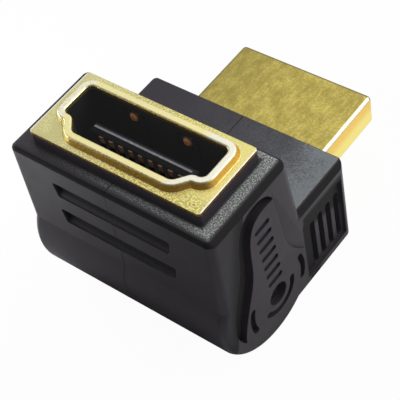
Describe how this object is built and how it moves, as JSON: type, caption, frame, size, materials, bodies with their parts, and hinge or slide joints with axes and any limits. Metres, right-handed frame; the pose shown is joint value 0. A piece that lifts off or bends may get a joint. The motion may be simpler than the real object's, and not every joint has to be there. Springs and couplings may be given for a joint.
{
  "type": "right angle video plug adapter",
  "caption": "Right angle video adapter: a gold D-shaped socket on top of a black moulded elbow that turns to a gold plug at the back.",
  "frame": {"origin": "centre of the socket's mouth, on the top face of its gold flange", "axes": "+Z out of the socket along its axis, +Y along the plug towards its tip, X across both"},
  "size_m": [0.0204, 0.0265, 0.0196],
  "materials": {
    "housing": "black moulded plastic with a fine texture",
    "gold_shell": "gold-plated sheet metal",
    "insulator": "smooth black plastic",
    "contact": "plated contact strip",
    "board": "green glass-fibre circuit board"
  },
  "bodies": {
    "root": {"circuit_board": "board", "housing_left": "housing", "housing_right": "housing", "plug_contact_01": "contact", "plug_contact_02": "contact", "plug_contact_03": "contact", "plug_contact_04": "contact", "plug_contact_05": "contact", "plug_contact_06": "contact", "plug_contact_07": "contact", "plug_contact_08": "contact", "plug_contact_09": "contact", "plug_contact_10": "contact", "plug_contact_11": "contact", "plug_contact_12": "contact", "plug_contact_13": "contact", "plug_contact_14": "contact", "plug_contact_15": "contact", "plug_contact_16": "contact", "plug_contact_17": "contact", "plug_contact_18": "contact", "plug_contact_19": "contact", "plug_insulator": "insulator", "plug_shell": "gold_shell", "socket_contact_01": "contact", "socket_contact_02": "contact", "socket_contact_03": "contact", "socket_contact_04": "contact", "socket_contact_05": "contact", "socket_contact_06": "contact", "socket_contact_07": "contact", "socket_contact_08": "contact", "socket_contact_09": "contact", "socket_contact_10": "contact", "socket_contact_11": "contact", "socket_contact_12": "contact", "socket_contact_13": "contact", "socket_contact_14": "contact", "socket_contact_15": "contact", "socket_contact_16": "contact", "socket_contact_17": "contact", "socket_contact_18": "contact", "socket_contact_19": "contact", "socket_insulator": "insulator", "socket_shell": "gold_shell"}
  },
  "joints": []
}
